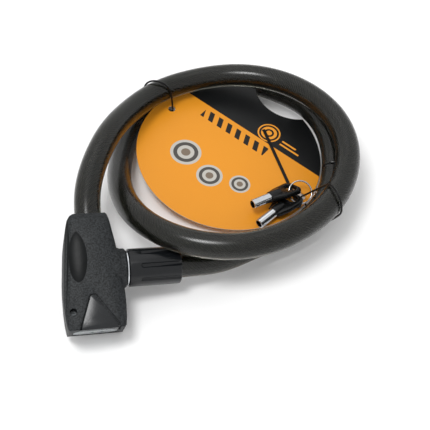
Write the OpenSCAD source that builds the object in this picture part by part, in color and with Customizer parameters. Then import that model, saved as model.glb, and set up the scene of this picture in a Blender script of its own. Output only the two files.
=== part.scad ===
// Coiled cable lock for a bicycle: moulded lock housing, sliding bolt in a fluted
// sleeve, a thick cable in nearly two turns, and the card, ties and keys it is sold with.
// Lengths are in millimetres, +Z is up and the lock lies on the plane z = 0.

/* [Lock housing] */
// Length of the housing from the key end to the cable end
body_len = 95; // [92:1:101]
// Thickness of the housing, front to back
body_t = 36; // [36:0.5:40]
// Wall of the moulded covers
wall = 2.6; // [2.2:0.1:3]
// Gap between the covers and the metal case inside them
case_gap = 0.4; // [0.3:0.1:0.8]
// Height of the smooth shield above the front cover
shield_rise = 0.5; // [0.3:0.1:0.9]
// Width of the groove on the left of the shield
groove_w = 1.3; // [1:0.1:1.6]
// How much wider the groove is on the right of the shield
groove_extra = 1.2; // [0.6:0.1:1.5]
// Depth of the thumb recess at its middle
thumb_depth = 2.2; // [1.4:0.1:2.3]
// Thread diameter of the cover screws
screw_d = 2.6; // [2:0.1:3]

/* [Cylinder and key] */
// Width of the bright plate round the keyway
plate_w = 34; // [32:0.5:37]
// Height of that plate, front to back
plate_h = 26; // [24:0.5:27]
// Outer diameter of the tubular key's barrel
key_barrel_d = 9; // [8:0.5:10]
// Wall of the key's barrel
key_wall = 1; // [0.8:0.1:1.3]
// Length of the key's barrel outside its head
key_barrel_len = 19; // [16:1:22]
// Width of the key's head
key_head_w = 23; // [21:1:25]
// Length of the key's head
key_head_len = 30; // [27:1:32]
// Thickness of the key's head
key_head_t = 3.8; // [3.6:0.2:5]
// Diameter of the cylinder's fixed barrel
barrel_d = 19; // [18:0.5:20]
// Turn of the key from open to locked, in degrees
key_turn = 90; // [80:5:100]

/* [Bolt and sleeve] */
// Diameter of the bolt
bolt_d = 12; // [10:0.5:13]
// Length of the bolt inside the socket
bolt_len = 35; // [33:0.5:36]
// Depth of the groove that the latch drops into
notch_depth = 2.4; // [2:0.1:2.6]
// Diameter of the bright flange on the bolt
flange_d = 29; // [27:0.5:30]
// Outer diameter of the fluted sleeve
sleeve_d = 31.2; // [30:0.1:31.6]
// Length of the fluted sleeve
sleeve_len = 42.5; // [40:0.5:46]
// Number of flutes round the sleeve
flutes = 8; // [6:1:9]
// Diameter of the neck on the housing that the bolt goes into
neck_d = 32.2; // [31:0.1:33]
// Diameter of the metal collar inside that neck
collar_d = 25; // [24:0.5:26]
// Running clearance between a shaft and its hole, on the radius
run_gap = 0.05; // [0.03:0.01:0.08]

/* [Cable] */
// Outer diameter of the cable's jacket
cable_d = 22; // [20:0.5:22]
// Diameter of the twisted steel core
core_d = 16; // [14:0.5:17]

/* [Card, ties and ring] */
// Radius of the display card
card_r = 89.3; // [86:0.1:90]
// Thickness of the display card
card_t = 0.8; // [0.5:0.1:1]
// Radius of the bite out of the card's rim
bite_r = 40; // [38:1:42]
// Diameter of the hanging hole in the card
hang_d = 7.5; // [6:0.5:8]
// Diameter of the holes for the ties
tie_hole_d = 7; // [6:0.5:8]
// Diameter of the wire ties
tie_d = 1.2; // [1:0.1:1.3]
// Width of the strap that holds the key ring
strap_w = 3; // [2:0.5:4]
// Thickness of that strap
strap_t = 0.8; // [0.6:0.1:1]
// Mean radius of the split ring
ring_r = 10.7; // [10:0.1:11.5]
// Thickness of the split ring's wire
ring_wire = 1.4; // [1.2:0.1:1.6]

/* [Hidden] */
$fn = 48;
eps = 0.01;
fit = 0.3;

// Where the housing lies: its local x runs to the socket, y to the cable, z to the front.
centre_shift = [13.6, 12.6, 0];
body_pos = [-109, -168.9, 17.2] + centre_shift;
body_turn = [21.5, 10, 8];
collar_y = 50.7;

function unit(v) = v / norm(v);
function turn_y(a, p) = [p[0] * cos(a) + p[2] * sin(a), p[1], p[2] * cos(a) - p[0] * sin(a)];
function turn_x(a, p) = [p[0], p[1] * cos(a) - p[2] * sin(a), p[1] * sin(a) + p[2] * cos(a)];
function turn_z(a, p) = [p[0] * cos(a) - p[1] * sin(a), p[0] * sin(a) + p[1] * cos(a), p[2]];
function body_dir(p) = turn_z(body_turn[2], turn_x(body_turn[0], turn_y(body_turn[1], p)));
function body_point(p) = body_pos + body_dir(p);

module in_body() {
    translate(body_pos)
        rotate([0, 0, body_turn[2]])
            rotate([body_turn[0], 0, 0])
                rotate([0, body_turn[1], 0])
                    children();
}

// Half-widths of the housing, seen from the front, from the key end to the cable end:
// [share of the length, left half-width, right half-width]
outline = [
    [0, 21.6, 20.6], [0.02, 22.8, 21.8], [0.1, 24, 22.9], [0.2, 24.7, 23.5], [0.32, 25, 23.7],
    [0.46, 24.9, 22.8], [0.6, 24.1, 21], [0.74, 22.3, 18.9], [0.88, 19.8, 16.4], [0.94, 18.4, 15.1],
    [0.975, 16.2, 13.8], [1, 13.2, 12.4]];
// Half-thickness from the key end to the cable end: [share of the length, share of body_t / 2]
profile = [[0, 0.86], [0.02, 0.94], [0.08, 0.99], [0.25, 1], [0.6, 1], [0.85, 0.95], [0.94, 0.89],
           [0.98, 0.82], [1, 0.73]];
// The long sides lean in towards the cable end by these angles.
left_lean = 4.3;
right_lean = 5.6;
end_slant = 5.5;
edge_power = 0.6;
crown = 0.3;
edge_steps = 14;

function rounded(c) = sign(c) * pow(abs(c), edge_power);
function run(share, inset) = inset + share * (body_len - 2 * inset);

// The housing seen from the front, drawn in by an inset.
module front_shape(inset) {
    polygon(concat([for (s = outline) [inset - s[1], run(s[0], inset)]],
                   [for (k = [len(outline) - 1:-1:0]) [outline[k][2] - inset, run(outline[k][0], inset)]]));
}

// The housing seen from its side, with the key end's face leaning back.
module side_shape(inset) {
    function lean(share, z) = share > 0.1 ? 0 : -z * tan(end_slant);
    polygon(concat(
        [for (s = profile) let (z = s[1] * body_t / 2 - inset) [run(s[0], inset) + lean(s[0], z), z]],
        [for (k = [len(profile) - 1:-1:0]) let (s = profile[k], z = inset - s[1] * body_t / 2)
         [run(s[0], inset) + lean(s[0], z), z]]));
}

// Cross-section with one crowned, rounded edge at x = -half_x; the other side runs on.
module edge_shape(half_x, inset) {
    half_z = body_t / 2 + crown - inset;
    polygon(concat([[60, -half_z]],
                   [for (k = [edge_steps:-1:0]) let (a = 90 + 180 * k / edge_steps)
                    [(half_x - inset) * rounded(cos(a)), half_z * rounded(sin(a))]],
                   [[60, half_z]]));
}

// Solid of the whole housing: its front, side and edge shapes run through each other.
module body_solid(inset = 0) {
    pivot_y = outline[4][0] * body_len;
    intersection() {
        translate([0, 0, -30])
            linear_extrude(60)
                front_shape(inset);
        rotate([90, 0, 90])
            translate([0, 0, -40])
                linear_extrude(80)
                    side_shape(inset);
        translate([0, pivot_y, 0])
            rotate([90, 0, -left_lean])
                translate([0, 0, -90])
                    linear_extrude(150)
                        edge_shape(outline[4][1] + 0.6, inset);
        translate([0, pivot_y, 0])
            rotate([90, 0, right_lean])
                translate([0, 0, -90])
                    linear_extrude(150)
                        mirror([1, 0])
                            edge_shape(outline[4][2] + 0.6, inset);
    }
}

// Bar along y with round long edges, from y0 to y1.
module round_bar(x0, x1, half_z, r, y0, y1) {
    translate([0, y0, 0]) {
        for (x = [x0 + r, x1 - r])
            for (z = [r - half_z, half_z - r])
                translate([x, 0, z])
                    along_y(r, y1 - y0);
        translate([x0 + r, 0, -half_z])
            cube([x1 - x0 - 2 * r, y1 - y0, 2 * half_z]);
        translate([x0, 0, r - half_z])
            cube([x1 - x0, y1 - y0, 2 * (half_z - r)]);
    }
}

module along_y(r, length) {
    rotate([-90, 0, 0])
        cylinder(r = r, h = length);
}

module along_x(r, length) {
    rotate([0, 90, 0])
        cylinder(r = r, h = length);
}

/* Cover split, cavities and the places that the covers share with what they hold */
split_z = -3;
case_half_z = body_t / 2 - wall - case_gap;
case_half_x = 14.4;
case_y0 = 10.5;
neck_y = 63;
neck_half_x = 11.8;
case_y1 = 81;
jacket_y0 = case_y1 + 2;
case_corner = 9;
front_screw = [-18.1, 14.4];
rear_screws = [[17.4, 18], [-16.8, 69]];
screw_head_d = 5.6;
boss_d = 5.4;
boss_reach = body_t * 0.36;
rib_t = 2.2;
rib_len = 4.4;
rib_drop = 4;
well_d = screw_head_d + 1.8;
well_floor = 1.2;
plate_t = 1.2;
plate_y = 0.5;
plate_mid_x = -1.5;
plate_corner = 9;
plate_web = 1.6;
collar_x0 = case_half_x + 3.4;
collar_x1 = 26.6;
collar_block_half_y = 9;
shield_rear_z = 6;

module case_space(gap) {
    round_bar(-case_half_x - gap, case_half_x + gap, case_half_z + gap, case_corner,
              case_y0 - gap, neck_y + gap);
    round_bar(-neck_half_x - gap, neck_half_x + gap, case_half_z * 0.86 + gap, case_corner,
              neck_y - 1, case_y1 + gap);
    translate([0, collar_y, 0])
        intersection() {
            along_x(bolt_d / 2 + 5 + gap, collar_x0 + gap);
            translate([0, -collar_block_half_y - gap, -20])
                cube([40, 2 * (collar_block_half_y + gap), 40]);
        }
}

// Outline of the shield on the front, apex towards the cable.
apex_r = 1.8;
apex_at = [-2.7, 24.2];
module shield_outline() {
    polygon(concat(
        [[-13.6, -4], [-12.4, 1.5]],
        [for (a = [160:-20:40]) apex_at + apex_r * [cos(a), sin(a)]],
        [[8, 11.6], [14.6, 2.5], [16, -4]]));
}

module shield_zone() {
    translate([0, 0, shield_rear_z])
        linear_extrude(40)
            shield_outline();
}

// The same space with the groove round it.
module shield_recess() {
    translate([0, 0, shield_rear_z])
        linear_extrude(40)
            offset(r = groove_w, $fn = 16) {
                shield_outline();
                translate([groove_extra, 0])
                    shield_outline();
            }
}

// Bar in the shape of the plate at the key end, leaning like the housing's end face.
module plate_bar(grow, y0, y1) {
    rotate([end_slant, 0, 0])
        round_bar(plate_mid_x - plate_w / 2 - grow, plate_mid_x + plate_w / 2 + grow, plate_h / 2 + grow,
                  plate_corner + grow, y0, y1);
}

module cover_cuts() {
    plate_bar(fit, -8, plate_y + plate_t + fit);
    translate([0, plate_y, 0])
        along_y(barrel_d / 2 + fit, 20);
    translate([0, case_y1 - 1, 0])
        along_y(cable_d / 2 + fit, body_len);
    translate([0, collar_y, 0])
        along_x(collar_d / 2 + fit, 60);
}

// Walls round the screw heads' wells.
module screw_wells() {
    translate([front_screw[0], front_screw[1], front_head_z - fit - well_floor])
        cylinder(d = well_d, h = 40);
    for (at = rear_screws)
        translate([at[0], at[1], rear_head_z + fit + well_floor - 40])
            cylinder(d = well_d, h = 40);
}

space_y0 = plate_y + plate_t + wall + plate_web;
// Neck round the socket: it flares where it grows out of the housing's side.
flare = [[18.2, 18.6], [17, 20.6]];
flare_rise = 0.5;
module neck_solid() {
    r = neck_d / 2;
    translate([0, collar_y, 0])
        intersection() {
            rotate([0, 90, 0])
                rotate_extrude()
                    polygon(concat([[0, 12], [flare[0][0], 12]], flare,
                                   [[r, 22.6], [r, collar_x1 - 0.9], [r - 0.9, collar_x1], [0, collar_x1]]));
            translate([0, -40, -r - flare_rise])
                cube([60, 80, 2 * (r + flare_rise)]);
        }
}

module hollow_body() {
    difference() {
        union() {
            body_solid();
            neck_solid();
        }
        difference() {
            intersection() {
                body_solid(wall);
                translate([-40, space_y0, -40])
                    cube([80, case_y1 + 1 - space_y0, 80]);
            }
            screw_wells();
            thumb_ball(dish_wall);
        }
        cover_cuts();
    }
}

// Boss with a rib that ties it to the side wall.
module screw_boss(at, z0, z1, rib_z) {
    translate([at[0], at[1], z0])
        cylinder(d = boss_d, h = z1 - z0);
    translate([at[0] > 0 ? at[0] : at[0] - rib_len, at[1] - rib_t / 2, rib_z])
        cube([rib_len, rib_t, z1 - z0 - rib_drop]);
}

module front_cover() {
    color("#36393b")
        in_body()
            difference() {
                union() {
                    intersection() {
                        hollow_body();
                        translate([-40, -10, split_z + eps])
                            cube([80, body_len + 20, 60]);
                    }
                    for (at = concat(rear_screws, [front_screw]))
                        screw_boss(at, split_z + eps, boss_reach, split_z + eps);
                }
                for (at = rear_screws)
                    translate([at[0], at[1], split_z - 1])
                        cylinder(d = screw_d, h = screw_grip + 1.2);
                translate([front_screw[0], front_screw[1], split_z - 1])
                    cylinder(d = screw_d + 2 * fit, h = 40);
                translate([front_screw[0], front_screw[1], front_head_z - fit])
                    cylinder(d = screw_head_d, h = 40);
                difference() {
                    shield_recess();
                    body_solid(shield_seat);
                }
                thumb_ball(0);
            }
}

shield_seat = 1.5;
screw_grip = 7;
front_head_z = 8.4;
rear_head_z = -11.4;
screw_head_t = 1.8;

// Shallow oval dish for the thumb: a slice of a stretched ball.
thumb_at = [-12, 58.5];
thumb_half_w = 9.2;
thumb_half_len = 22;
thumb_lean = 13;
dish_wall = 0.8;
module thumb_ball(grow) {
    translate([thumb_at[0], thumb_at[1], body_t / 2 + 0.6])
        rotate([0, -thumb_lean, 0])
            scale([thumb_half_w + grow, thumb_half_len + grow, thumb_depth + 1.4 + grow])
                sphere(r = 1, $fn = 28);
}

module rear_cover() {
    color("#313436")
        in_body()
            difference() {
                union() {
                    intersection() {
                        hollow_body();
                        translate([-40, -10, -60 + split_z])
                            cube([80, body_len + 20, 60]);
                    }
                    for (at = concat(rear_screws, [front_screw]))
                        screw_boss(at, -boss_reach, split_z, rib_drop - boss_reach);
                }
                translate([front_screw[0], front_screw[1], split_z - screw_grip - 0.2])
                    cylinder(d = screw_d, h = screw_grip + 1);
                for (at = rear_screws)
                    translate([at[0], at[1], -40]) {
                        cylinder(d = screw_d + 2 * fit, h = 60);
                        cylinder(d = screw_head_d, h = 40 + rear_head_z + fit);
                    }
            }
}

// Smooth inlay over the key end of the front, standing a little proud of the cover.
module shield_panel() {
    color("#3d4043")
        in_body()
            difference() {
                intersection() {
                    shield_zone();
                    body_solid(-shield_rise);
                }
                body_solid(shield_seat - fit / 3);
                cover_cuts();
            }
}

module cross_head(head_d, head_t) {
    difference() {
        cylinder(d = head_d, h = head_t);
        for (a = [0, 90])
            rotate(a)
                translate([-head_d / 4, -head_d / 16, head_t - 0.9])
                    cube([head_d / 2, head_d / 8, 1]);
    }
}

module screw(length) {
    translate([0, 0, -length])
        cylinder(d = screw_d - 0.1, h = length + eps);
    cross_head(screw_head_d - 2 * fit, screw_head_t);
}

module cover_screws() {
    color("#8b8e90")
        in_body() {
            translate([front_screw[0], front_screw[1], front_head_z])
                screw(front_head_z - split_z + screw_grip);
            for (at = rear_screws)
                translate([at[0], at[1], rear_head_z])
                    rotate([180, 0, 0])
                        screw(split_z - rear_head_z + screw_grip);
        }
}

/* Cylinder: plate, barrel, plug, tumblers and cam, all about the local y axis */
key_gap = 0.4;
keyway_r = key_barrel_d / 2 + key_gap;
post_r = key_barrel_d / 2 - key_wall - key_gap;
barrel_y0 = plate_y + plate_t + barrel_d / 2 * tan(end_slant) + fit;
barrel_y1 = 26;
plug_r = 6.6;
keyway_depth = 9;
tumbler_y0 = barrel_y0 + keyway_depth;
cam_y0 = barrel_y1 + 0.6;
cam_t = 4;
tumbler_n = 7;
tumbler_at = (post_r + keyway_r) / 2;
tumbler_r = (keyway_r - post_r) / 2 - 0.1;

module face_plate() {
    color("#b9bbbc")
        in_body()
            difference() {
                plate_bar(0, plate_y, plate_y + plate_t);
                along_y(keyway_r, barrel_y0 + 1);
                translate([keyway_r - 0.5, 0, -0.9])
                    cube([1.6, barrel_y0 + 1, 1.8]);
            }
}

module cylinder_barrel() {
    color("#c8b06a")
        in_body()
            difference() {
                translate([0, barrel_y0 + eps, 0])
                    along_y(barrel_d / 2, barrel_y1 - barrel_y0);
                translate([0, barrel_y0 - 1, 0])
                    along_y(plug_r + run_gap, 40);
            }
}

// The plug turns in the barrel; its post stands in the keyway and its tail carries the cam.
tail_r = 3;
tumbler_play = 0.06;
module cylinder_plug() {
    color("#c9cbcc")
        in_body()
            difference() {
                rotate([-90, 0, 0])
                    rotate_extrude()
                        polygon([[0, plate_y + fit], [post_r, plate_y + fit], [post_r, tumbler_y0],
                                 [keyway_r, tumbler_y0], [keyway_r, barrel_y0 + fit],
                                 [plug_r, barrel_y0 + fit], [plug_r, barrel_y1 + fit],
                                 [tail_r, barrel_y1 + fit], [tail_r, cam_y0 + cam_t + 0.8],
                                 [0, cam_y0 + cam_t + 0.8]]);
                for (k = [0:tumbler_n - 1])
                    rotate([0, 360 * k / tumbler_n, 0])
                        translate([tumbler_at, tumbler_y0 - 1, 0])
                            along_y(tumbler_r + tumbler_play, 9);
            }
}

module pin_tumblers() {
    color("#d9c27a")
        in_body()
            for (k = [0:tumbler_n - 1])
                rotate([0, 360 * k / tumbler_n, 0])
                    translate([tumbler_at, tumbler_y0 - 0.8, 0])
                        along_y(tumbler_r, 7.5);
}

// Cam: its radius falls evenly as the key turns, so the latch follows it down.
latch_open_z = bolt_d / 2 + 0.4;
latch_travel = notch_depth + 0.1;
cam_high = latch_open_z - 0.4;
cam_slope = latch_travel / key_turn;
function cam_radius(a) = cam_high - cam_slope * min(max(a, 0), key_turn);

module drive_cam() {
    color("#a8aaab")
        in_body()
            translate([0, cam_y0, 0])
                rotate([-90, 0, 0])
                    difference() {
                        linear_extrude(cam_t)
                            polygon([for (k = [-12:23]) let (a = 10 * k, r = cam_radius(a))
                                     [r * sin(a), -r * cos(a)]]);
                        translate([0, 0, -1])
                            cylinder(r = tail_r + run_gap, h = cam_t + 2);
                    }
}

// Latch: a plate over the bolt with a nose on the cam and a lip that drops into the notch.
latch_half_x = 1.9;
latch_top = 11.2;
latch_y1 = collar_y + 4;

module latch() {
    color("#9da0a2")
        in_body()
            difference() {
                translate([-latch_half_x, cam_y0 + 0.6, latch_open_z])
                    cube([2 * latch_half_x, latch_y1 - cam_y0 - 0.6, latch_top - latch_open_z]);
                translate([-5, cam_y0 + cam_t + 0.8, latch_open_z - 1])
                    cube([10, collar_y - 5 - cam_y0 - cam_t - 0.8, 2.4]);
            }
}

spring_y = cam_y0 + 10;
spring_top = case_half_z - 0.9;
spring_wire = 0.6;
spring_mean_r = 1.3;
module latch_spring() {
    turns = 3;
    rings = 12;
    z0 = latch_top + spring_wire / 2 + 0.1;
    z1 = spring_top - spring_wire / 2 - 0.1;
    path = [for (k = [0:turns * rings]) let (a = 360 * k / rings)
            [[spring_mean_r * cos(a), spring_y + spring_mean_r * sin(a),
              z0 + (z1 - z0) * k / (turns * rings)], [-sin(a), cos(a), 0]]];
    color("#c4c6c8")
        in_body()
            sweep(path, spring_wire / 2, 6);
}

module lock_case() {
    color("#77797b")
        in_body()
            difference() {
                case_space(0);
                translate([0, case_y0 - 1, 0])
                    along_y(barrel_d / 2 + run_gap, barrel_y1 + 0.5 - case_y0 + 1);
                translate([0, barrel_y1, 0])
                    along_y(cam_high + 1.2, cam_t + 2.6);
                translate([bolt_in_x - 1.4, collar_y, 0])
                    along_x(bolt_d / 2 + run_gap, 60);
                translate([-latch_half_x - 0.3, cam_y0 + 0.2, 0])
                    cube([2 * latch_half_x + 0.6, latch_y1 - cam_y0 + 0.2, spring_top]);
                translate([0, crimp_y0, 0])
                    along_y(crimp_d / 2 + run_gap, 60);
                translate([0, crimp_pin_y, 0])
                    rotate([0, 90, 0])
                        cylinder(r = crimp_pin_r + run_gap, h = 60, center = true);
            }
}

/* Socket, bolt and sleeve, about the local x axis at collar_y */
bolt_in_x = collar_x1 - bolt_len;
flange_x = collar_x1 + fit;
flange_t = 1.8;
sleeve_x0 = flange_x + flange_t;
sleeve_x1 = sleeve_x0 + sleeve_len;
notch_w = 2 * latch_half_x + 0.8;
ferrule_x0 = sleeve_x0 + 8;
ferrule_len = 15;
tail_x0 = ferrule_x0 + ferrule_len;
ring_groove_x = collar_x1 - 4;
o_wire = 1.6;

module at_socket(x) {
    in_body()
        translate([x, collar_y, 0])
            children();
}

module socket_collar() {
    color("#2c2f31")
        at_socket(0)
            difference() {
                translate([collar_x0 + fit / 3, 0, 0])
                    along_x(collar_d / 2, collar_x1 - collar_x0 - fit / 3);
                along_x(bolt_d / 2 + run_gap, 60);
                translate([ring_groove_x, 0, 0])
                    along_x(bolt_d / 2 + 0.3 + o_wire, o_wire + 0.4);
            }
}

module o_ring() {
    color("#1d1d1e")
        at_socket(ring_groove_x + 0.2 + o_wire / 2)
            rotate([0, 90, 0])
                rotate_extrude()
                    translate([bolt_d / 2 + run_gap + o_wire / 2 + 0.05, 0])
                        circle(d = o_wire, $fn = 24);
}

module bolt_pin() {
    color("#cfd2d4")
        at_socket(0)
            difference() {
                union() {
                    translate([bolt_in_x + 1.5, 0, 0])
                        along_x(bolt_d / 2, flange_x - bolt_in_x - 1.4);
                    translate([bolt_in_x, 0, 0])
                        rotate([0, 90, 0])
                            cylinder(r1 = bolt_d / 2 - 1.5, r2 = bolt_d / 2, h = 1.5 + eps);
                    translate([flange_x, 0, 0])
                        rotate([0, 90, 0])
                            rotate_extrude()
                                polygon([[0, 0], [flange_d / 2 - 0.6, 0], [flange_d / 2, 0.5],
                                         [flange_d / 2, flange_t - 0.5],
                                         [flange_d / 2 - 0.6, flange_t], [0, flange_t]]);
                    translate([sleeve_x0 - eps, 0, 0])
                        along_x(core_d / 2, ferrule_x0 - sleeve_x0 - 0.2);
                }
                translate([-notch_w / 2, 0, 0])
                    rotate([0, 90, 0])
                        difference() {
                            cylinder(r = bolt_d, h = notch_w);
                            translate([0, 0, -1])
                                cylinder(r = bolt_d / 2 - notch_depth, h = notch_w + 2);
                        }
            }
}

flute_r = 2.1;
flute_start = 0.26;
module bolt_sleeve() {
    color("#222426")
        at_socket(sleeve_x0 + fit / 6)
            difference() {
                rotate([0, 90, 0])
                    rotate_extrude($fn = 96)
                        polygon([[cable_d / 2 + fit, 0], [sleeve_d / 2 - 0.5, 0],
                                 [sleeve_d / 2, 0.5], [sleeve_d / 2, sleeve_len - 0.8],
                                 [sleeve_d / 2 - 0.8, sleeve_len], [cable_d / 2 + fit, sleeve_len]]);
                for (k = [0:flutes - 1])
                    rotate([360 * k / flutes + 11, 0, 0])
                        translate([sleeve_len * flute_start, 0, sleeve_d / 2 + flute_r / 4]) {
                            along_x(flute_r, sleeve_len);
                            sphere(r = flute_r, $fn = 32);
                        }
            }
}

module bolt_crimp() {
    color("#b4b6b7")
        at_socket(ferrule_x0)
            difference() {
                along_x(core_d / 2 + 1.6, ferrule_len - 0.3);
                translate([-1, 0, 0])
                    along_x(core_d / 2 + fit / 3, ferrule_len + 2);
            }
}

/* Fixed end of the cable in the case */
crimp_d = core_d + 3;
crimp_y0 = neck_y + 2;
crimp_pin_y = crimp_y0 + 6;
crimp_pin_r = 1.8;

module cable_crimp() {
    color("#b4b6b7")
        in_body()
            difference() {
                translate([0, crimp_y0 + 0.3, 0])
                    along_y(crimp_d / 2, case_y1 - crimp_y0 - 0.3);
                translate([0, crimp_y0 + 10, 0])
                    along_y(core_d / 2 + fit / 3, 40);
                translate([0, crimp_pin_y, 0])
                    rotate([0, 90, 0])
                        cylinder(r = crimp_pin_r + run_gap, h = 60, center = true);
            }
}

module crimp_pin() {
    color("#a2a5a7")
        in_body()
            translate([0, crimp_pin_y, 0])
                rotate([0, 90, 0])
                    cylinder(r = crimp_pin_r, h = 2 * neck_half_x - 0.8, center = true);
}

/* Cable */
// Points that the cable bends between, from the housing's cable end round to the sleeve.
route_bends = [
    [-114, 3, 66], [-97, 49, 54], [-74, 85, 47], [-42, 106, 43], [-3, 115, 44],
    [36, 108, 46], [70, 86, 48], [95, 53, 49], [106, 15, 47], [101, -25, 45],
    [82, -63, 47], [52, -93, 51], [15, -111, 52], [-26, -111, 52], [-63, -95, 50],
    [-89, -66, 43], [-103, -27, 31], [-107, 15, 18], [-104, 58, 11], [-91, 98, 11],
    [-63, 128, 11], [-25, 144, 12], [16, 142, 13], [52, 121, 15], [78, 87, 26],
    [95, 48, 27], [97, 5, 17], [83, -37, 16.5], [53, -68, 14.5], [19, -81, 18]];
exit_run = 30;
entry_run = 38;
cable_sides = 12;
rings_per_bend = 2;
// Bends that the tail, which flexes with the bolt, takes in from the sleeve's side.
tail_bends = 5;

cable_start = body_point([0, body_len, 0]);
sleeve_mouth = body_point([sleeve_x1, collar_y, 0]);
route_knots = concat([cable_start, cable_start + exit_run * body_dir([0, 1, 0])],
                     [for (p = route_bends) p + centre_shift],
                     [sleeve_mouth + entry_run * body_dir([1, 0, 0]), sleeve_mouth]);
knot_count = len(route_knots);
function knot(i) =
    i < 0 ? 2 * route_knots[0] - route_knots[1] :
    i >= knot_count ? 2 * route_knots[knot_count - 1] - route_knots[knot_count - 2] :
    route_knots[i];
// Smooth curve through the bends: a uniform cubic spline, s counted in bends.
function along_route(s) =
    let (i = min(floor(s), knot_count - 2), t = s - i)
    (pow(1 - t, 3) * knot(i - 1) + (3 * t * t * t - 6 * t * t + 4) * knot(i)
     + (1 + 3 * t + 3 * t * t - 3 * t * t * t) * knot(i + 1) + t * t * t * knot(i + 2)) / 6;
split_s = knot_count - 1 - tail_bends;
function route_dir(s) = unit(along_route(min(s + 0.05, knot_count - 1)) - along_route(max(s - 0.05, 0)));
// Frames of a path: each a point and the direction in which the path leaves it.
function route_frame(s) = [along_route(s), route_dir(s)];
cable_path = [for (k = [0:split_s * rings_per_bend]) route_frame(k / rings_per_bend)];
tail_path = [for (k = [0:tail_bends * rings_per_bend]) route_frame(split_s + k / rings_per_bend)];

// Least distance between stretches of the cable that are over a quarter turn apart.
fine_path = [for (k = [0:4 * (knot_count - 1)]) along_route(k / 4)];
apart = 18;
self_gap = min([for (i = [0:len(fine_path) - 1 - apart]) for (j = [i + apart:len(fine_path) - 1])
                norm(fine_path[i] - fine_path[j])]) - cable_d;
echo(cable_self_gap = self_gap);
function path_length(p, i = 0) = i >= len(p) - 1 ? 0 : norm(p[i + 1] - p[i]) + path_length(p, i + 1);
echo(cable_length = path_length(fine_path));

// Ring of points round a frame.
function ring(f, r, sides) =
    let (side = unit(cross(f[1], [0, 0.02, 1])), up = cross(side, f[1]))
    [for (k = [0:sides - 1]) let (a = 360 * k / sides) f[0] + r * (cos(a) * side + sin(a) * up)];

function band(a, b, n) = [for (k = [0:n - 1]) for (f = [
    [a + k, a + (k + 1) % n, b + (k + 1) % n], [a + k, b + (k + 1) % n, b + k]]) f];

// Solid rod along a path of frames.
module sweep(p, r, sides) {
    m = len(p);
    points = [for (f = p) for (q = ring(f, r, sides)) q];
    faces = concat([for (i = [0:m - 2]) for (f = band(i * sides, (i + 1) * sides, sides)) f],
                   [for (k = [1:sides - 2]) [0, k + 1, k]],
                   [for (k = [1:sides - 2]) [(m - 1) * sides, (m - 1) * sides + k, (m - 1) * sides + k + 1]]);
    polyhedron(points, faces);
}

// Tube along a path: the outer rings forward and the inner rings back, as one closed skin.
module tube(p, r_out, r_in, sides) {
    m = len(p);
    points = concat([for (f = p) for (q = ring(f, r_out, sides)) q],
                    [for (i = [m - 1:-1:0]) for (q = ring(p[i], r_in, sides)) q]);
    faces = [for (i = [0:2 * m - 1])
             for (f = band(i * sides, ((i + 1) % (2 * m)) * sides, sides)) f];
    polyhedron(points, faces);
}

// Straight ends that reach into the housing and the sleeve.
jacket_in = [[body_point([0, jacket_y0, 0]), body_dir([0, 1, 0])]];
core_in = [[body_point([0, crimp_y0 + 10.5, 0]), body_dir([0, 1, 0])]];
jacket_out = [[body_point([tail_x0, collar_y, 0]), body_dir([-1, 0, 0])]];
core_out = [[body_point([ferrule_x0 + 0.2, collar_y, 0]), body_dir([-1, 0, 0])]];

module cable_jacket() {
    color("#3a3c39", 0.85)
        tube(concat(jacket_in, cable_path), cable_d / 2, core_d / 2 + fit / 3, cable_sides);
}

module cable_core() {
    color("#6d6f6c")
        sweep(concat(core_in, cable_path), core_d / 2, cable_sides);
}

module tail_jacket() {
    color("#3a3c39", 0.85)
        tube(concat(tail_path, jacket_out), cable_d / 2, core_d / 2 + fit / 3, cable_sides);
}

module tail_core() {
    color("#6d6f6c")
        sweep(concat(tail_path, core_out), core_d / 2, cable_sides);
}

/* Card: a flat disc that leans between the turns */
card_pos = [-2.5, 31.7, 16.6] + centre_shift;
card_tilt = [6.2, 6.8, 0];
bite_at = 111;
bite_angle = 53;
text_angle = -38;
hang_at = [76, 7];
tie_at = [-75, 2];
right_tie_at = [82.5, 5];

function card_dir(p) = turn_y(card_tilt[1], turn_x(card_tilt[0], p));
// Place on the card from distances along and across its printed lines.
function card_local(p, z = 0) =
    [p[0] * cos(text_angle) - p[1] * sin(text_angle), p[0] * sin(text_angle) + p[1] * cos(text_angle), z];
function card_point(p, z = 0) = card_pos + card_dir(card_local(p, z));

module on_card() {
    translate(card_pos)
        rotate([0, card_tilt[1], 0])
            rotate([card_tilt[0], 0, 0])
                children();
}

module display_card() {
    color("#e59c2b")
        on_card()
            translate([0, 0, -card_t / 2])
                difference() {
                    cylinder(r = card_r, h = card_t, $fn = 180);
                    rotate(bite_angle)
                        translate([bite_at, 0, -1])
                            cylinder(r = bite_r, h = card_t + 2, $fn = 120);
                    translate(card_local(hang_at) - [0, 0, 1])
                        cylinder(d = hang_d, h = card_t + 2);
                    for (at = [tie_at, right_tie_at])
                        translate(card_local(at) - [0, 0, 1])
                            cylinder(d = tie_hole_d, h = card_t + 2);
                    for (at = [strap_start, strap_end])
                        translate(card_local(at) - [0, 0, 1])
                            rotate(strap_angle)
                                cube([strap_t + 2 * fit, strap_w + 2 * fit, 5], center = true);
                }
}

/* Ties: each is a closed loop of wire, drawn tight round what it holds */
// Angle of the normal at which a belt leaves circle a for circle b, [x, y, r] each.
function leave_angle(a, b) =
    let (dx = b[0] - a[0], dy = b[1] - a[1], d = norm([dx, dy]))
    atan2(dy, dx) - 90 + asin((a[2] - b[2]) / d);
function arc_span(a0, a1) = let (d = a1 - a0) d < 0 ? d + 360 : d >= 360 ? d - 360 : d;
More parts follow.
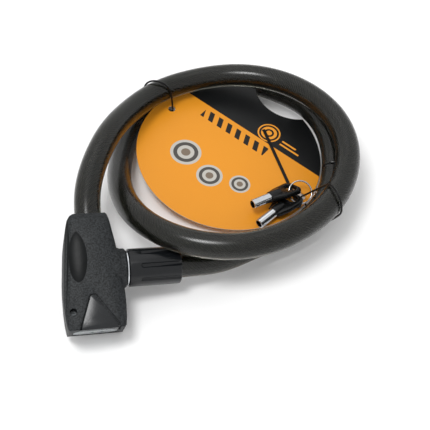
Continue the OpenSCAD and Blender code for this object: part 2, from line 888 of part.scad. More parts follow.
// Belt round circles listed anticlockwise, as points in the plane.
function belt(c, step = 20) =
    let (n = len(c))
    [for (i = [0:n - 1])
     let (a0 = leave_angle(c[(i + n - 1) % n], c[i]), a1 = leave_angle(c[i], c[(i + 1) % n]),
          span = arc_span(a0, a1), m = max(2, ceil(span / step)))
     for (k = [0:m]) let (a = a0 + span * k / m)
     [c[i][0] + c[i][2] * cos(a), c[i][1] + c[i][2] * sin(a)]];

// Closed wire loop: points in a plane through an origin, with its own outward and up directions.
module wire_loop(origin, out, loop, r, sides = 6) {
    n = len(loop);
    up = [0, 0, 1];
    across = cross(out, up);
    path = [for (q = loop) origin + q[0] * out + q[1] * up];
    rings = [for (i = [0:n - 1])
             let (t = unit(path[(i + 1) % n] - path[(i + n - 1) % n]), side = cross(t, across))
             for (k = [0:sides - 1]) let (a = 360 * (k + 0.5) / sides)
             path[i] + r * (cos(a) * side + sin(a) * across)];
    faces = [for (i = [0:n - 1]) for (f = band(i * sides, ((i + 1) % n) * sides, sides)) f];
    polyhedron(rings, faces);
}

hook_r = 1;
hook_drop = 1.3;
// Radius that clears the cable where the loop's plane crosses it askew.
function tie_reach(across, s) = cable_d / 2 / abs(across * route_dir(s)) + tie_d / 2 + 0.7;
// Place between two bends where the cable crosses the plane of a tie.
function crossing(origin, across, s0, s1) =
    let (places = [for (k = [0:100]) s0 + (s1 - s0) * k / 100],
         off = [for (s = places) abs((along_route(s) - origin) * across)])
    places[search(min(off), off)[0]];
// Where a tie's belt rounds the cable, in the tie's own plane.
function belt_circle(origin, out, s0, s1) =
    let (across = cross(out, [0, 0, 1]), s = crossing(origin, across, s0, s1), d = along_route(s) - origin)
    [d * out, d[2], tie_reach(across, s)];
// The belt's turn at the card: through a hole or round the rim, just under the card.
function belt_hook(x, fall) = [x, -card_t / 2 - tie_d / 2 - hook_drop + hook_r - fall, hook_r];

left_out = [cos(165), sin(165), 0];
left_hole = card_point(tie_at);
left_rim = card_r - norm(tie_at) + hook_r + tie_d;
module tie_left() {
    color("#18191a")
        wire_loop(left_hole, left_out,
                  belt([belt_hook(0, 0), belt_hook(left_rim, -2), belt_circle(left_hole, left_out, 3.4, 5)]),
                  tie_d / 2);
}

right_out = [cos(-65), sin(-65), 0];
right_hole = card_point(right_tie_at);
module tie_right() {
    color("#18191a")
        wire_loop(right_hole, right_out,
                  belt([belt_hook(0, 0), belt_circle(right_hole, right_out, 28.2, 30),
                        belt_circle(right_hole, right_out, 10.8, 13)]), tie_d / 2);
}

/* Strap: a flat band over the card, through a slot at each end */
ring_at = [80.5, 2.5];
ring_tilt = 26;
ring_lift = 1.5;
ring_z = card_t / 2 + fit + ring_wire + ring_r * sin(ring_tilt) + ring_lift;
strap_start = [8, 45];
strap_end = [87.6, -6.6];
strap_line = strap_end - strap_start;
strap_len = norm(strap_line);
strap_angle = atan2(strap_line[1], strap_line[0]) + text_angle;
strap_low = card_t / 2 + 0.2;
strap_lift = 0.8;
strap_high = ring_z - ring_r * sin(ring_tilt) + ring_wire + strap_lift;
strap_climb = strap_len - 7.5;
strap_crest = strap_len - 4.1;

module key_strap() {
    t = strap_t;
    color("#1b1c1d")
        on_card()
            translate(card_local(strap_start))
                rotate(strap_angle)
                    rotate([90, 0, 0])
                        translate([0, 0, -strap_w / 2])
                            linear_extrude(strap_w)
                                polygon([
                                    [-t / 2, -card_t / 2 - 0.8], [-t / 2, strap_low + t],
                                    [strap_climb, strap_low + t], [strap_crest, strap_high + t],
                                    [strap_len - 2, strap_high + t], [strap_len + t / 2, strap_high - 1],
                                    [strap_len + t / 2, -card_t / 2 - 0.8],
                                    [strap_len - t / 2, -card_t / 2 - 0.8],
                                    [strap_len - t / 2, strap_high - 1.4],
                                    [strap_len - 2.4, strap_high], [strap_crest, strap_high],
                                    [strap_climb, strap_low], [t / 2, strap_low],
                                    [t / 2, -card_t / 2 - 0.8]]);
}

/* Split ring and keys, lying on the card */

module at_ring() {
    on_card()
        translate(card_local(ring_at, ring_z))
            rotate([ring_tilt, 0, 0])
                children();
}

// Two turns of wire pressed together: a round-edged profile with a seam.
module split_ring() {
    color("#c8cacb")
        at_ring()
            rotate_extrude($fn = 72)
                for (z = [-ring_wire * 0.42, ring_wire * 0.42])
                    translate([ring_r, z])
                        circle(d = ring_wire, $fn = 20);
}

// How each key lies: [angle round the ring, heading, fall to the barrel, lean,
// place along the hole, distance of the ring from the head's end].
key_seats = [[166.5, -148, -4, 33, -1.7, 6.2], [211, -136, 1, 22, -2.4, 5.2]];
hole_len = 14.4;
hole_w = 9;
hole_inset = 2;

module at_key(k) {
    seat = key_seats[k];
    on_card()
        translate(card_local(ring_at, ring_z))
            translate([ring_r * cos(seat[0]), ring_r * sin(seat[0]) * cos(ring_tilt),
                       ring_r * sin(seat[0]) * sin(ring_tilt)])
                rotate([0, 0, seat[1]])
                    rotate([0, seat[2], 0])
                        rotate([seat[3], 0, 0])
                            translate([-seat[5], -seat[4], 0])
                                children();
}

// Head: wide at the ring, with sloping shoulders down to the barrel; x runs to the barrel.
module key_head() {
    half = key_head_w / 2;
    shoulder = key_head_len * 0.62;
    neck = key_barrel_d / 2 + 1.6;
    difference() {
        union() {
            translate([0, 0, -key_head_t / 2])
                linear_extrude(key_head_t)
                    polygon([[0, -half + 5], [1.5, -half + 1.5], [5, -half],
                             [shoulder, -half + 1.5], [key_head_len, -neck], [key_head_len, neck],
                             [shoulder, half - 1.5], [5, half], [1.5, half - 1.5], [0, half - 5]]);
            translate([shoulder, 0, 0])
                along_x(key_barrel_d / 2 + 0.8, key_head_len - shoulder);
        }
        for (y = [-(hole_len - hole_w) / 2, (hole_len - hole_w) / 2])
            translate([hole_inset + hole_w / 2, y, -10])
                cylinder(d = hole_w, h = 20);
        translate([hole_inset, -(hole_len - hole_w) / 2, -10])
            cube([hole_w, hole_len - hole_w, 20]);
        translate([key_head_len - 8, 0, 0])
            along_x(key_barrel_d / 2 + run_gap, 20);
    }
}

module key_barrel() {
    difference() {
        union() {
            translate([key_head_len - 7.9, 0, 0])
                along_x(key_barrel_d / 2, key_barrel_len + 7.9 - 0.4);
            translate([key_head_len + key_barrel_len - 0.4 - eps, 0, 0])
                rotate([0, 90, 0])
                    cylinder(r1 = key_barrel_d / 2, r2 = key_barrel_d / 2 - 0.4, h = 0.4);
            translate([key_head_len + key_barrel_len - 4, key_barrel_d / 2 - 0.6, -0.8])
                cube([2.4, 1.4, 1.6]);
        }
        translate([key_head_len, 0, 0])
            along_x(key_barrel_d / 2 - key_wall, key_barrel_len + 5);
    }
}

module key_head_a() {
    color("#191a1b")
        at_key(0)
            key_head();
}

module key_barrel_a() {
    color("#c6c8c9")
        at_key(0)
            key_barrel();
}

module key_head_b() {
    color("#191a1b")
        at_key(1)
            key_head();
}

module key_barrel_b() {
    color("#c6c8c9")
        at_key(1)
            key_barrel();
}

front_cover();
rear_cover();
shield_panel();
cover_screws();
face_plate();
socket_collar();
lock_case();
cylinder_barrel();
cylinder_plug();
pin_tumblers();
drive_cam();
latch();
latch_spring();
cable_crimp();
crimp_pin();
bolt_pin();
bolt_sleeve();
bolt_crimp();
o_ring();
cable_jacket();
cable_core();
tail_jacket();
tail_core();
display_card();
tie_left();
tie_right();
key_strap();
split_ring();
key_head_a();
key_barrel_a();
key_head_b();
key_barrel_b();
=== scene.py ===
import math

import bmesh
import bpy
from mathutils import Matrix, Vector


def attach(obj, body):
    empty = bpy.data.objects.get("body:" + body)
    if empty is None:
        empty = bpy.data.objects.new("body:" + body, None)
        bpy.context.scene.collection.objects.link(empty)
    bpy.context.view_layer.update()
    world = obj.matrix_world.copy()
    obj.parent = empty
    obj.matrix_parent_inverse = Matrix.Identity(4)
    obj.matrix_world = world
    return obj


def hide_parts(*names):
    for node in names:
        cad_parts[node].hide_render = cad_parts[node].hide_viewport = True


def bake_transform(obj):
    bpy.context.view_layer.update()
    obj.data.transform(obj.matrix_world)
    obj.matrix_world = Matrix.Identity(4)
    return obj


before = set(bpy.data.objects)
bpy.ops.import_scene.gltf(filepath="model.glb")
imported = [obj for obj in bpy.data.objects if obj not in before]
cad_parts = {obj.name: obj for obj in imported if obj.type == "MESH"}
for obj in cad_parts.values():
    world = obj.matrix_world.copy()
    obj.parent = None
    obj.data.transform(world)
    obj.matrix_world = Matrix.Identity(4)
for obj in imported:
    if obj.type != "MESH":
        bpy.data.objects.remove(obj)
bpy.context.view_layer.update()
mm = 0.001
print("stage: frame loaded")

# Where the housing lies: x to the socket, y to the cable, z to the front.
housing = {"centre": (-95.4, -156.3, 17.2), "turn": (21.5, 10, 8), "collarY": 50.7, "length": 95,
           "sleeveEnd": 71.2}
# The card's plane, and how far its printed lines are turned in it.
cardPlane = {"centre": (11.1, 44.3, 16.6), "tilt": (6.2, 6.8), "lines": -38}
# The split ring: its place along and across the printed lines and above them, and its own tilt.
keyRing = {"place": (80.5, 2.5, 8.29), "tilt": 26, "radius": 10.7, "wire": 1.2, "rise": 1.3,
           "turns": 2, "startAngle": 200, "stepAngle": 5, "crossing": 5, "sides": 12}
# What the bends below are moved by, so that the object stands over the origin.
shift = Vector((13.6, 12.6, 0))


def turned(x, y, z):
    spin = Matrix.Rotation(math.radians(z), 4, "Z") @ Matrix.Rotation(math.radians(x), 4, "X")
    return spin @ Matrix.Rotation(math.radians(y), 4, "Y")


housingPlace = Matrix.Translation(housing["centre"]) @ turned(*housing["turn"])
cardPlace = (Matrix.Translation(cardPlane["centre"])
             @ Matrix.Rotation(math.radians(cardPlane["tilt"][1]), 4, "Y")
             @ Matrix.Rotation(math.radians(cardPlane["tilt"][0]), 4, "X")
             @ Matrix.Rotation(math.radians(cardPlane["lines"]), 4, "Z"))


def makeCamera():
    view = {"place": (-2.9, -452.0, 513.2), "tip": 40, "angle": 32.99, "nearest": 10}
    lens = bpy.data.cameras.new("camera")
    lens.angle = math.radians(view["angle"])
    lens.clip_start = view["nearest"] * mm
    eye = bpy.data.objects.new("camera", lens)
    eye.location = Vector(view["place"]) * mm
    eye.rotation_euler = (math.radians(view["tip"]), 0, 0)
    bpy.context.collection.objects.link(eye)
    bpy.context.scene.camera = eye


makeCamera()


# An sRGB colour code as the linear values that a shader takes.
def linear(code):
    parts = [int(code[k:k + 2], 16) / 255 for k in (1, 3, 5)]
    return [c / 12.92 if c <= 0.04045 else ((c + 0.055) / 1.055) ** 2.4 for c in parts] + [1]


# A shader node with its settings; an input is given a value, or a socket to be linked from.
def addNode(tree, kind, settings=(), inputs=()):
    node = tree.nodes.new("ShaderNode" + kind)
    for name, value in dict(settings).items():
        setattr(node, name, value)
    for name, value in dict(inputs).items():
        if isinstance(value, bpy.types.NodeSocket):
            tree.links.new(value, node.inputs[name])
        else:
            node.inputs[name].default_value = value
    return node


def newMaterial(name, values):
    material = bpy.data.materials.new(name)
    material.use_nodes = True
    tree = material.node_tree
    tree.nodes.clear()
    shader = addNode(tree, "BsdfPrincipled", {}, values)
    addNode(tree, "OutputMaterial", {}, {"Surface": shader.outputs["BSDF"]})
    return material, tree, shader


# A Mix node's sockets share their names, so they are reached by number.
factor, valueA, valueB, colourA, colourB, mixedColour = 0, 2, 3, 6, 7, 2
# The part of a noise's values that is stretched to the full range.
noiseSpan = {"speckle": (0.35, 0.65), "polish": (0.3, 0.7)}
noiseDetail = {"cloud": 4, "grain": 2}


# Cloudy, speckled tint and polish over fine relief; grain, relief and patch are in millimetres.
def addFinish(tree, shader, tints, grain, relief, rough, patch, speckle):
    place = addNode(tree, "TexCoord").outputs["Object"]
    cloud = addNode(tree, "TexNoise", {}, {"Vector": place, "Scale": 1 / (patch * mm),
                                           "Detail": noiseDetail["cloud"]})
    fine = addNode(tree, "TexNoise", {}, {"Vector": place, "Scale": 1 / (grain * mm),
                                          "Detail": noiseDetail["grain"]})
    low, high = noiseSpan["speckle"]
    spots = addNode(tree, "MapRange", {}, {"Value": fine.outputs["Fac"], "From Min": low,
                                           "From Max": high})
    share = addNode(tree, "Mix", {}, {factor: speckle, valueA: cloud.outputs["Fac"],
                                      valueB: spots.outputs["Result"]})
    tint = addNode(tree, "Mix", {"data_type": "RGBA"},
                   {factor: share.outputs[0], colourA: linear(tints[0]), colourB: linear(tints[1])})
    tree.links.new(tint.outputs[mixedColour], shader.inputs["Base Color"])
    low, high = noiseSpan["polish"]
    polish = addNode(tree, "MapRange", {}, {"Value": cloud.outputs["Fac"],
                                            "From Min": low, "From Max": high,
                                            "To Min": rough[0], "To Max": rough[1]})
    tree.links.new(polish.outputs["Result"], shader.inputs["Roughness"])
    bump = addNode(tree, "Bump", {}, {"Strength": 1, "Distance": relief * mm,
                                      "Height": fine.outputs["Fac"]})
    tree.links.new(bump.outputs["Normal"], shader.inputs["Normal"])
    return place, tint.outputs[mixedColour]


# Each finish: the shader's own values, then what addFinish is given.
finishes = {
    # glass-filled nylon moulded in an etched tool: a dull charcoal skin with a fine pebble grain
    "mouldedNylon": (
        {"Specular IOR Level": 0.22},
        {"tints": ("#08090a", "#303335"), "speckle": 0.8, "patch": 20,
         "grain": 1.2, "relief": 0.45, "rough": (0.44, 0.56)}),
    # the same nylon from a polished tool: smooth, with a soft broad shine
    "satinNylon": (
        {"Specular IOR Level": 0.35},
        {"tints": ("#17191b", "#202224"), "speckle": 0.2, "patch": 14,
         "grain": 3.0, "relief": 0.05, "rough": (0.22, 0.3)}),
    # the same nylon where the tool's dish is polished: smoother, with a near-black tint that is
    # painted shade for the recess
    "dishNylonPaintedShade": (
        {"Specular IOR Level": 0.12},
        {"tints": ("#0a0b0c", "#141617"), "speckle": 0.2, "patch": 14,
         "grain": 2.5, "relief": 0.04, "rough": (0.34, 0.42)}),
    # glossy moulded vinyl: nearly black, with a clear shine along each flute
    "sleeveVinyl": (
        {"Specular IOR Level": 0.35},
        {"tints": ("#0c0e10", "#131518"), "speckle": 0.3, "patch": 16,
         "grain": 2.4, "relief": 0.03, "rough": (0.2, 0.27)}),
    # extruded nylon band and wire coating: black with a low shine
    "tieNylon": (
        {"Specular IOR Level": 0.2},
        {"tints": ("#0b0b0b", "#131313"), "speckle": 0.3, "patch": 6,
         "grain": 1.2, "relief": 0.03, "rough": (0.34, 0.46)}),
    # injection moulded ABS: black, glossy and slightly rippled
    "keyHeadAbs": (
        {"Specular IOR Level": 0.3},
        {"tints": ("#0a0b0b", "#121314"), "speckle": 0.3, "patch": 8,
         "grain": 5.0, "relief": 0.05, "rough": (0.2, 0.3)}),
    # nickel-chrome plating on turned steel: bright, with faint polishing haze
    "chromePlate": (
        {"Metallic": 1},
        {"tints": ("#cfd2d6", "#e0e3e6"), "speckle": 0.3, "patch": 5,
         "grain": 0.8, "relief": 0.006, "rough": (0.1, 0.2)}),
    # stamped stainless plate: a mottled, dull silver
    "stampedSteel": (
        {"Metallic": 1},
        {"tints": ("#9aa0a3", "#d3d8da"), "speckle": 0.3, "patch": 2.5,
         "grain": 1.1, "relief": 0.1, "rough": (0.24, 0.4)}),
    # zinc-plated steel: grey with a slight blue and yellow cloud
    "zincSteel": (
        {"Metallic": 1},
        {"tints": ("#9a9c98", "#b9bcc0"), "speckle": 0.3, "patch": 6,
         "grain": 0.6, "relief": 0.02, "rough": (0.28, 0.42)}),
    # black-oxidised steel screw: dark, with an oily sheen
    "blackOxide": (
        {"Metallic": 0.8},
        {"tints": ("#3a3c3e", "#55585a"), "speckle": 0.3, "patch": 3,
         "grain": 0.5, "relief": 0.02, "rough": (0.35, 0.5)}),
    # die-cast zinc: dull grey with the casting's skin
    "castZinc": (
        {"Metallic": 1},
        {"tints": ("#6c6f72", "#85888b"), "speckle": 0.3, "patch": 8,
         "grain": 1.0, "relief": 0.06, "rough": (0.45, 0.6)}),
    # turned brass: yellow with a fine turned haze
    "turnedBrass": (
        {"Metallic": 1},
        {"tints": ("#b08d45", "#c9a75c"), "speckle": 0.3, "patch": 6,
         "grain": 0.5, "relief": 0.01, "rough": (0.22, 0.34)}),
    # moulded nitrile rubber: dull black
    "nitrileRubber": (
        {"IOR": 1.5},
        {"tints": ("#101010", "#191919"), "speckle": 0.3, "patch": 4,
         "grain": 0.5, "relief": 0.02, "rough": (0.6, 0.75)}),
    # galvanised strands seen through the vinyl: dull, dark olive grey
    "galvanisedStrand": (
        {"Metallic": 0.35},
        {"tints": ("#2e2f2a", "#54554d"), "speckle": 0.3, "patch": 7,
         "grain": 0.5, "relief": 0.05, "rough": (0.4, 0.6)}),
    # oiled hemp heart between the strands: brown-black
    "strandHeart": (
        {"IOR": 1.45},
        {"tints": ("#1a1611", "#2a231a"), "speckle": 0.3, "patch": 5,
         "grain": 0.8, "relief": 0.05, "rough": (0.7, 0.85)}),
    # clear plasticised vinyl, smoke-tinted and extruded over the strands: glassy and olive grey
    "jacketVinyl": (
        {"IOR": 1.42, "Transmission Weight": 1},
        {"tints": ("#6e6e63", "#83827a"), "speckle": 0.3, "patch": 30,
         "grain": 6.0, "relief": 0.05, "rough": (0.2, 0.27)}),
}
material = {}
for name, (values, look) in finishes.items():
    material[name], tree, shader = newMaterial(name, values)
    addFinish(tree, shader, **look)


# The card's print in millimetres: along its printed lines, across them, and radii.
cardPrint = {"edgeFall": -0.035, "darkAcross": (33.5, 200), "faceHeight": (-0.385, 0.385),
             "barSlant": 0.45, "barPitch": 11, "barWidth": 5.5,
             "barAcross": (17.5, 28.5), "barAlong": (-50, 26),
             "discs": ((-30, -30, 15), (4, -36, 12.5), (31, -24, 10)),
             "discRing": (0.55, 0.8), "discHeart": 0.3,
             "target": (14, 46), "targetRings": ((-1, 3), (5, 8), (10, 11.5)),
             "stripes": (((30, 52), (40, 42)), ((30, 46), (44.5, 46.5)))}
inks = {"dark": "#101112", "bars": "#15130f", "light": "#e8982c", "cutEdge": "#cfc6b4",
        "disc": "#b9b6ae", "discRing": "#4a4743", "discHeart": "#77695a"}


# Coated board printed in two colours: smooth, flat ink with a low shine, and pale cut edges.
def makeCardBoard():
    made, tree, shader = newMaterial("printedBoard", {"Specular IOR Level": 0.3})
    place, orange = addFinish(tree, shader, tints=("#dc8c1c", "#e29423"), grain=0.7, relief=0.004,
                              rough=(0.34, 0.42), patch=40, speckle=0.3)
    flat = addNode(tree, "Mapping", {"vector_type": "TEXTURE"},
                   {"Vector": place, "Location": Vector(cardPlane["centre"]) * mm,
                    "Rotation": cardPlace.to_euler("XYZ"), "Scale": (mm, mm, mm)}).outputs["Vector"]
    along, across, height = addNode(tree, "SeparateXYZ", {}, {"Vector": flat}).outputs
    ground = {"colour": orange}

    def ink(mask, name):
        mix = addNode(tree, "Mix", {"data_type": "RGBA"},
                      {factor: mask, colourA: ground["colour"], colourB: linear(inks[name])})
        ground["colour"] = mix.outputs[mixedColour]

    def both(one, other):
        return addNode(tree, "Math", {"operation": "MULTIPLY"}, {0: one, 1: other}).outputs[0]

    # White where the value that it is given lies between the two limits, black elsewhere.
    def within(value, limits):
        above = addNode(tree, "Math", {"operation": "GREATER_THAN"}, {0: value, 1: limits[0]})
        below = addNode(tree, "Math", {"operation": "LESS_THAN"}, {0: value, 1: limits[1]})
        return both(above.outputs[0], below.outputs[0])

    # A ring between two radii; a negative inner radius makes it a whole disc.
    def ring(x, y, radii):
        away = addNode(tree, "VectorMath", {"operation": "DISTANCE"}, {0: flat, 1: (x, y, 0)})
        return within(away.outputs["Value"], radii)

    slope = addNode(tree, "Math", {"operation": "MULTIPLY_ADD"},
                    {0: along, 1: cardPrint["edgeFall"], 2: across}).outputs[0]
    ink(within(slope, cardPrint["darkAcross"]), "dark")
    # slanting bars under the two-colour edge
    skew = addNode(tree, "Math", {"operation": "MULTIPLY_ADD"},
                   {0: across, 1: cardPrint["barSlant"], 2: along}).outputs[0]
    phase = addNode(tree, "Math", {"operation": "WRAP"},
                    {0: skew, 1: cardPrint["barPitch"], 2: 0}).outputs[0]
    bars = both(within(phase, (0, cardPrint["barWidth"])), within(slope, cardPrint["barAcross"]))
    ink(both(bars, within(along, cardPrint["barAlong"])), "bars")
    # three discs with rings
    for x, y, radius in cardPrint["discs"]:
        ink(ring(x, y, (-1, radius)), "disc")
        ink(ring(x, y, [radius * share for share in cardPrint["discRing"]]), "discRing")
        ink(ring(x, y, (-1, radius * cardPrint["discHeart"])), "discHeart")
    # rings and stripes on the dark ground
    for radii in cardPrint["targetRings"]:
        ink(ring(*cardPrint["target"], radii), "light")
    for alongLimits, acrossLimits in cardPrint["stripes"]:
        ink(both(within(along, alongLimits), within(slope, acrossLimits)), "light")
    ink(within(height, cardPrint["faceHeight"]), "cutEdge")
    tree.links.new(ground["colour"], shader.inputs["Base Color"])
    return made


material["printedBoard"] = makeCardBoard()
print("stage: materials made")


# Uniform cubic spline through the bends; its ends are the knots themselves.
def splinePoints(knots, first, last, step):
    def knot(k):
        if k < 0:
            return 2 * knots[0] - knots[1]
        return 2 * knots[-1] - knots[-2] if k >= len(knots) else knots[k]

    points = []
    count = round((last - first) / step)
    for n in range(count + 1):
        s = first + (last - first) * n / count
        k = min(int(s), len(knots) - 2)
        t = s - k
        weights = ((1 - t) ** 3, 3 * t ** 3 - 6 * t * t + 4,
                   1 + 3 * t + 3 * t * t - 3 * t ** 3, t ** 3)
        points.append(sum((w * knot(k + j - 1) for j, w in enumerate(weights)), Vector()) / 6)
    return points


# The same line with points an even distance apart, each with its distance and two side directions.
def evenFrames(points, spacing):
    total = sum((b - a).length for a, b in zip(points, points[1:]))
    count = max(2, round(total / spacing))
    frames, walked, want = [], 0, 0
    for a, b in zip(points, points[1:]):
        leg = (b - a).length
        while want * total / count <= walked + leg + 1e-9 and want <= count:
            far = want * total / count
            frames.append([a.lerp(b, min(1, (far - walked) / leg)), far])
            want += 1
        walked += leg
    side = Vector((0, 0.02, 1)).cross(points[1] - points[0]).normalized()
    for k, item in enumerate(frames):
        ahead = (frames[min(k + 1, len(frames) - 1)][0] - frames[max(k - 1, 0)][0]).normalized()
        side = (side - ahead * side.dot(ahead)).normalized()
        item += [side.copy(), ahead.cross(side)]
    return frames


# Tubes along lines of points, made from one curve with round section and closed ends.
def tubes(name, lines, radius, sides):
    curve = bpy.data.curves.new(name, "CURVE")
    curve.dimensions = "3D"
    curve.bevel_depth = radius * mm
    curve.bevel_resolution = sides // 2 - 2
    curve.use_fill_caps = True
    for line in lines:
        spline = curve.splines.new("POLY")
        spline.points.add(len(line) - 1)
        for point, place in zip(spline.points, line):
            point.co = (*(place * mm), 1)
    source = bpy.data.objects.new(name + "Line", curve)
    bpy.context.collection.objects.link(source)
    bpy.context.view_layer.update()
    solid = source.evaluated_get(bpy.context.evaluated_depsgraph_get())
    mesh = bpy.data.meshes.new_from_object(solid)
    bpy.data.objects.remove(source)
    mesh.name = name
    mesh.materials.clear()
    work = bmesh.new()
    work.from_mesh(mesh)
    bmesh.ops.remove_doubles(work, verts=work.verts, dist=1e-7)
    bmesh.ops.recalc_face_normals(work, faces=work.faces)
    work.to_mesh(mesh)
    work.free()
    mesh.polygons.foreach_set("use_smooth", [len(face.vertices) < 5 for face in mesh.polygons])
    piece = bpy.data.objects.new(name, mesh)
    bpy.context.collection.objects.link(piece)
    return piece


cable = {"diameter": 22, "exitRun": 30, "entryRun": 38, "tailBends": 5,
         "jacketFrom": 83, "tailEnd": 51.7,
         "strands": 16, "strandRadius": 0.95, "layRadius": 6.1, "layLength": 48, "heartRadius": 5.3,
         "curveStep": 0.05, "spacing": 2.4, "jacketSides": 40, "heartSides": 14, "strandSides": 8}
bends = [
    (-114, 3, 66), (-97, 49, 54), (-74, 85, 47), (-42, 106, 43), (-3, 115, 44),
    (36, 108, 46), (70, 86, 48), (95, 53, 49), (106, 15, 47), (101, -25, 45),
    (82, -63, 47), (52, -93, 51), (15, -111, 52), (-26, -111, 52), (-63, -95, 50),
    (-89, -66, 43), (-103, -27, 31), (-107, 15, 18), (-104, 58, 11), (-91, 98, 11),
    (-63, 128, 11), (-25, 144, 12), (16, 142, 13), (52, 121, 15), (78, 87, 26),
    (95, 48, 27), (97, 5, 17), (83, -37, 16.5), (53, -68, 14.5), (19, -81, 18)]
cableStart = housingPlace @ Vector((0, housing["length"], 0))
sleeveMouth = housingPlace @ Vector((housing["sleeveEnd"], housing["collarY"], 0))
upCable = housingPlace.to_3x3() @ Vector((0, 1, 0))
outOfSocket = housingPlace.to_3x3() @ Vector((1, 0, 0))
knots = ([cableStart, cableStart + cable["exitRun"] * upCable] + [Vector(b) + shift for b in bends]
         + [sleeveMouth + cable["entryRun"] * outOfSocket, sleeveMouth])
tailFrom = len(knots) - 1 - cable["tailBends"]


def strandLines(frames):
    lines = []
    for n in range(cable["strands"]):
        line = []
        for point, far, side, up in frames:
            a = 2 * math.pi * (n / cable["strands"] + far / cable["layLength"])
            line.append(point + cable["layRadius"] * (math.cos(a) * side + math.sin(a) * up))
        lines.append(line)
    return lines


def makeCable():
    main = splinePoints(knots, 0, tailFrom, cable["curveStep"])
    tail = splinePoints(knots, tailFrom, len(knots) - 1, cable["curveStep"])
    whole = evenFrames(main + tail[1:], cable["spacing"])
    mainLength = sum((b - a).length for a, b in zip(main, main[1:]))
    split = min(range(len(whole)), key=lambda k: abs(whole[k][1] - mainLength))
    inside = housingPlace @ Vector((0, cable["jacketFrom"], 0))
    into = housingPlace @ Vector((cable["tailEnd"], housing["collarY"], 0))
    pieces = {}
    for name, part in (("cable", whole[:split + 1]), ("tail", whole[split:])):
        line = [f[0] for f in part]
        line = [inside] + line if name == "cable" else line + [into]
        jacket = tubes(name + "Jacket", [line], cable["diameter"] / 2, cable["jacketSides"])
        heart = tubes(name + "Heart", [line], cable["heartRadius"], cable["heartSides"])
        strands = tubes(name + "Strands", strandLines(part), cable["strandRadius"],
                        cable["strandSides"])
        jacket.data.materials.append(material["jacketVinyl"])
        heart.data.materials.append(material["strandHeart"])
        strands.data.materials.append(material["galvanisedStrand"])
        length = sum((b - a).length for a, b in zip(line, line[1:]))
        pieces[name] = (jacket, heart, strands, line, length)
        print(name, "length", round(length, 1), "mm")
    return pieces


cables = makeCable()
for piece in cables["cable"][:3]:
    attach(piece, "lock")
for piece in cables["tail"][:3]:
    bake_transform(piece)
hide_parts("cable_jacket")
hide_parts("cable_core")
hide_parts("tail_jacket")
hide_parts("tail_core")
print("stage: cable made")

# How frame nodes are softened; weld is in metres, the angles in degrees.
soften = {"weld": 2e-6, "flatAngle": 1, "edgeAngle": 32, "shadeAngle": 28, "segments": 2}


# A copy of a frame node with its edges softened by a width in millimetres.
def softened(node, name, width):
    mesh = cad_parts[node].data.copy()
    mesh.name = name
    work = bmesh.new()
    work.from_mesh(mesh)
    bmesh.ops.remove_doubles(work, verts=work.verts, dist=soften["weld"])
    bmesh.ops.dissolve_limit(work, angle_limit=math.radians(soften["flatAngle"]), verts=work.verts,
                             edges=work.edges)
    least = math.radians(soften["edgeAngle"])
    sharp = [e for e in work.edges if e.is_manifold and e.calc_face_angle(0) > least]
    bmesh.ops.bevel(work, geom=sharp, offset=width * mm, offset_type="OFFSET",
                    segments=soften["segments"], profile=0.5, affect="EDGES",
                    clamp_overlap=True, material=-1)
    bmesh.ops.triangulate(work, faces=[f for f in work.faces if len(f.verts) > 4])
    work.to_mesh(mesh)
    work.free()
    mesh.polygons.foreach_set("use_smooth", [True] * len(mesh.polygons))
    mesh.set_sharp_from_angle(angle=math.radians(soften["shadeAngle"]))
    mesh.materials.clear()
    piece = bpy.data.objects.new(name, mesh)
    bpy.context.collection.objects.link(piece)
    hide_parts(node)
    return piece


softPieces = {
    # node: (piece name, edge width, material, body, slot)
    "front_cover": ("frontShell", 0.3, "mouldedNylon", "lock", "cover"),
    "rear_cover": ("rearShell", 0.3, "mouldedNylon", "lock", "cover"),
    "shield_panel": ("shieldInlay", 0.35, "satinNylon", "lock", "shield"),
    "bolt_sleeve": ("flutedSleeve", 0.3, "sleeveVinyl", "bolt", "sleeve"),
    "key_head_a": ("keyHeadA", 0.5, "keyHeadAbs", "key_a", "key_head"),
    "key_head_b": ("keyHeadB", 0.5, "keyHeadAbs", "key_b", "key_head"),
    "key_strap": ("keyStrap", 0.1, "tieNylon", "lock", "tie"),
}
mouldings = {}
for node, (name, width, finish, body, slotName) in softPieces.items():
    piece = mouldings[name] = softened(node, name, width)
    piece.data.materials.append(material[finish])
    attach(piece, body)


# The thumb dish is smoother than the grained cover round it, and its darker tint is painted shade
# for the recess.
# Its faces are those inside an oval in the housing's plane and above a height, in millimetres.
def polishAndShadeDish(cover):
    dish = {"centre": (-12, 58.5), "half": (9.3, 22.2), "above": 2}
    # the dish's faces get the smoother material with the painted shade
    cover.data.materials.append(material["dishNylonPaintedShade"])
    toHousing = housingPlace.inverted()
    for face in cover.data.polygons:
        spot = toHousing @ (face.center / mm)
        wide = (spot.x - dish["centre"][0]) / dish["half"][0]
        long = (spot.y - dish["centre"][1]) / dish["half"][1]
        if wide * wide + long * long < 1 and spot.z > dish["above"]:
            face.material_index = 1


polishAndShadeDish(mouldings["frontShell"])
print("stage: mouldings softened")


# How much thicker the ties' wire is made, in millimetres, and how it is rounded.
tieWire = {"grow": 0.5, "joinAngle": 3.1, "rounds": 2}


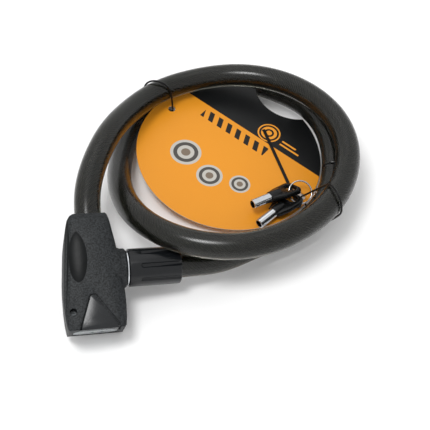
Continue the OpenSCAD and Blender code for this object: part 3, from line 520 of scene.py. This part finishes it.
# Wire ties: the frame's six-sided wire, rounded by subdivision.
def roundedTie(node, name):
    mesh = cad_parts[node].data.copy()
    work = bmesh.new()
    work.from_mesh(mesh)
    bmesh.ops.remove_doubles(work, verts=work.verts, dist=soften["weld"])
    bmesh.ops.join_triangles(work, faces=work.faces, angle_face_threshold=tieWire["joinAngle"],
                             angle_shape_threshold=tieWire["joinAngle"])
    for vert in work.verts:
        vert.co += vert.normal * tieWire["grow"] * mm
    work.to_mesh(mesh)
    work.free()
    mesh.materials.clear()
    mesh.materials.append(material["tieNylon"])
    piece = bpy.data.objects.new(name, mesh)
    bpy.context.collection.objects.link(piece)
    smooth = piece.modifiers.new("round", "SUBSURF")
    smooth.levels = smooth.render_levels = tieWire["rounds"]
    mesh.polygons.foreach_set("use_smooth", [True] * len(mesh.polygons))
    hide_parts(node)
    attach(piece, "lock")


# Split ring: two turns of wire pressed together, which step from one level to the other half way.
def makeKeyRing():
    place = (cardPlace @ Matrix.Translation(keyRing["place"])
             @ Matrix.Rotation(math.radians(-cardPlane["lines"]), 4, "Z")
             @ Matrix.Rotation(math.radians(keyRing["tilt"]), 4, "X"))
    line = []
    steps = keyRing["turns"] * 360 // keyRing["stepAngle"]
    for n in range(steps + 1):
        a = math.radians(keyRing["startAngle"] + keyRing["stepAngle"] * n)
        step = max(-1, min(1, (n - steps // 2) / keyRing["crossing"]))
        line.append(place @ Vector((keyRing["radius"] * math.cos(a),
                                    keyRing["radius"] * math.sin(a),
                                    step * keyRing["rise"] / 2)))
    piece = tubes("splitRing", [line], keyRing["wire"] / 2, keyRing["sides"])
    piece.data.materials.append(material["chromePlate"])
    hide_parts("split_ring")
    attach(piece, "ring")


makeKeyRing()
roundedTie("tie_left", "leftTie")
roundedTie("tie_right", "rightTie")
print("stage: ring and ties made")

# Materials of the frame's own nodes
nodeFinish = {
    "chromePlate": ["cylinder_plug", "bolt_pin", "key_barrel_a", "key_barrel_b"],
    "stampedSteel": ["face_plate"],
    "zincSteel": ["socket_collar", "latch", "drive_cam", "crimp_pin", "cable_crimp", "bolt_crimp",
                  "latch_spring"],
    "blackOxide": ["cover_screws"],
    "castZinc": ["lock_case"],
    "turnedBrass": ["cylinder_barrel", "pin_tumblers"],
    "nitrileRubber": ["o_ring"],
    "printedBoard": ["display_card"],
}
for finish, nodes in nodeFinish.items():
    for node in nodes:
        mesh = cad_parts[node].data
        mesh.materials.clear()
        mesh.materials.append(material[finish])


# Floor, world and lamps
def makeStage():
    # floor in metres, its drop below the object in millimetres
    sizes = {"floor": 6, "drop": 0.4, "roughness": 0.9, "worldStrength": 0.85}
    mesh = bpy.data.meshes.new("floor")
    work = bmesh.new()
    bmesh.ops.create_grid(work, x_segments=1, y_segments=1, size=sizes["floor"] / 2)
    bmesh.ops.translate(work, verts=work.verts, vec=(0, 0, -sizes["drop"] * mm))
    work.to_mesh(mesh)
    work.free()
    floor = bpy.data.objects.new("floor", mesh)
    bpy.context.collection.objects.link(floor)
    mesh.materials.append(newMaterial("paperSweep", {"Base Color": linear("#fafafa"),
                                                     "Roughness": sizes["roughness"]})[0])
    world = bpy.data.worlds.new("studio")
    world.use_nodes = True
    tree = world.node_tree
    tree.nodes.clear()
    light = addNode(tree, "Background", {}, {"Color": linear("#ffffff"),
                                             "Strength": sizes["worldStrength"]})
    addNode(tree, "OutputWorld", {}, {"Surface": light.outputs[0]})
    bpy.context.scene.world = world


# A white round lamp turned to the object; place and size are in metres, power in watts.
def addLamp(name, place, size, power):
    lamp = bpy.data.lights.new(name, "AREA")
    lamp.shape = "DISK"
    lamp.size = size
    lamp.energy = power
    holder = bpy.data.objects.new(name, lamp)
    holder.location = place
    holder.rotation_euler = (-Vector(place)).to_track_quat("-Z", "Y").to_euler()
    bpy.context.collection.objects.link(holder)


lamps = {
    "softbox": {"place": (-0.2, -0.25, 0.9), "size": 0.3, "power": 4},
    "overhead": {"place": (-0.1, 0.5, 1.1), "size": 0.9, "power": 0.8},
}
makeStage()
for name, lamp in lamps.items():
    addLamp(name, **lamp)
bpy.context.scene.view_settings.view_transform = "Standard"
print("stage: lamps set")
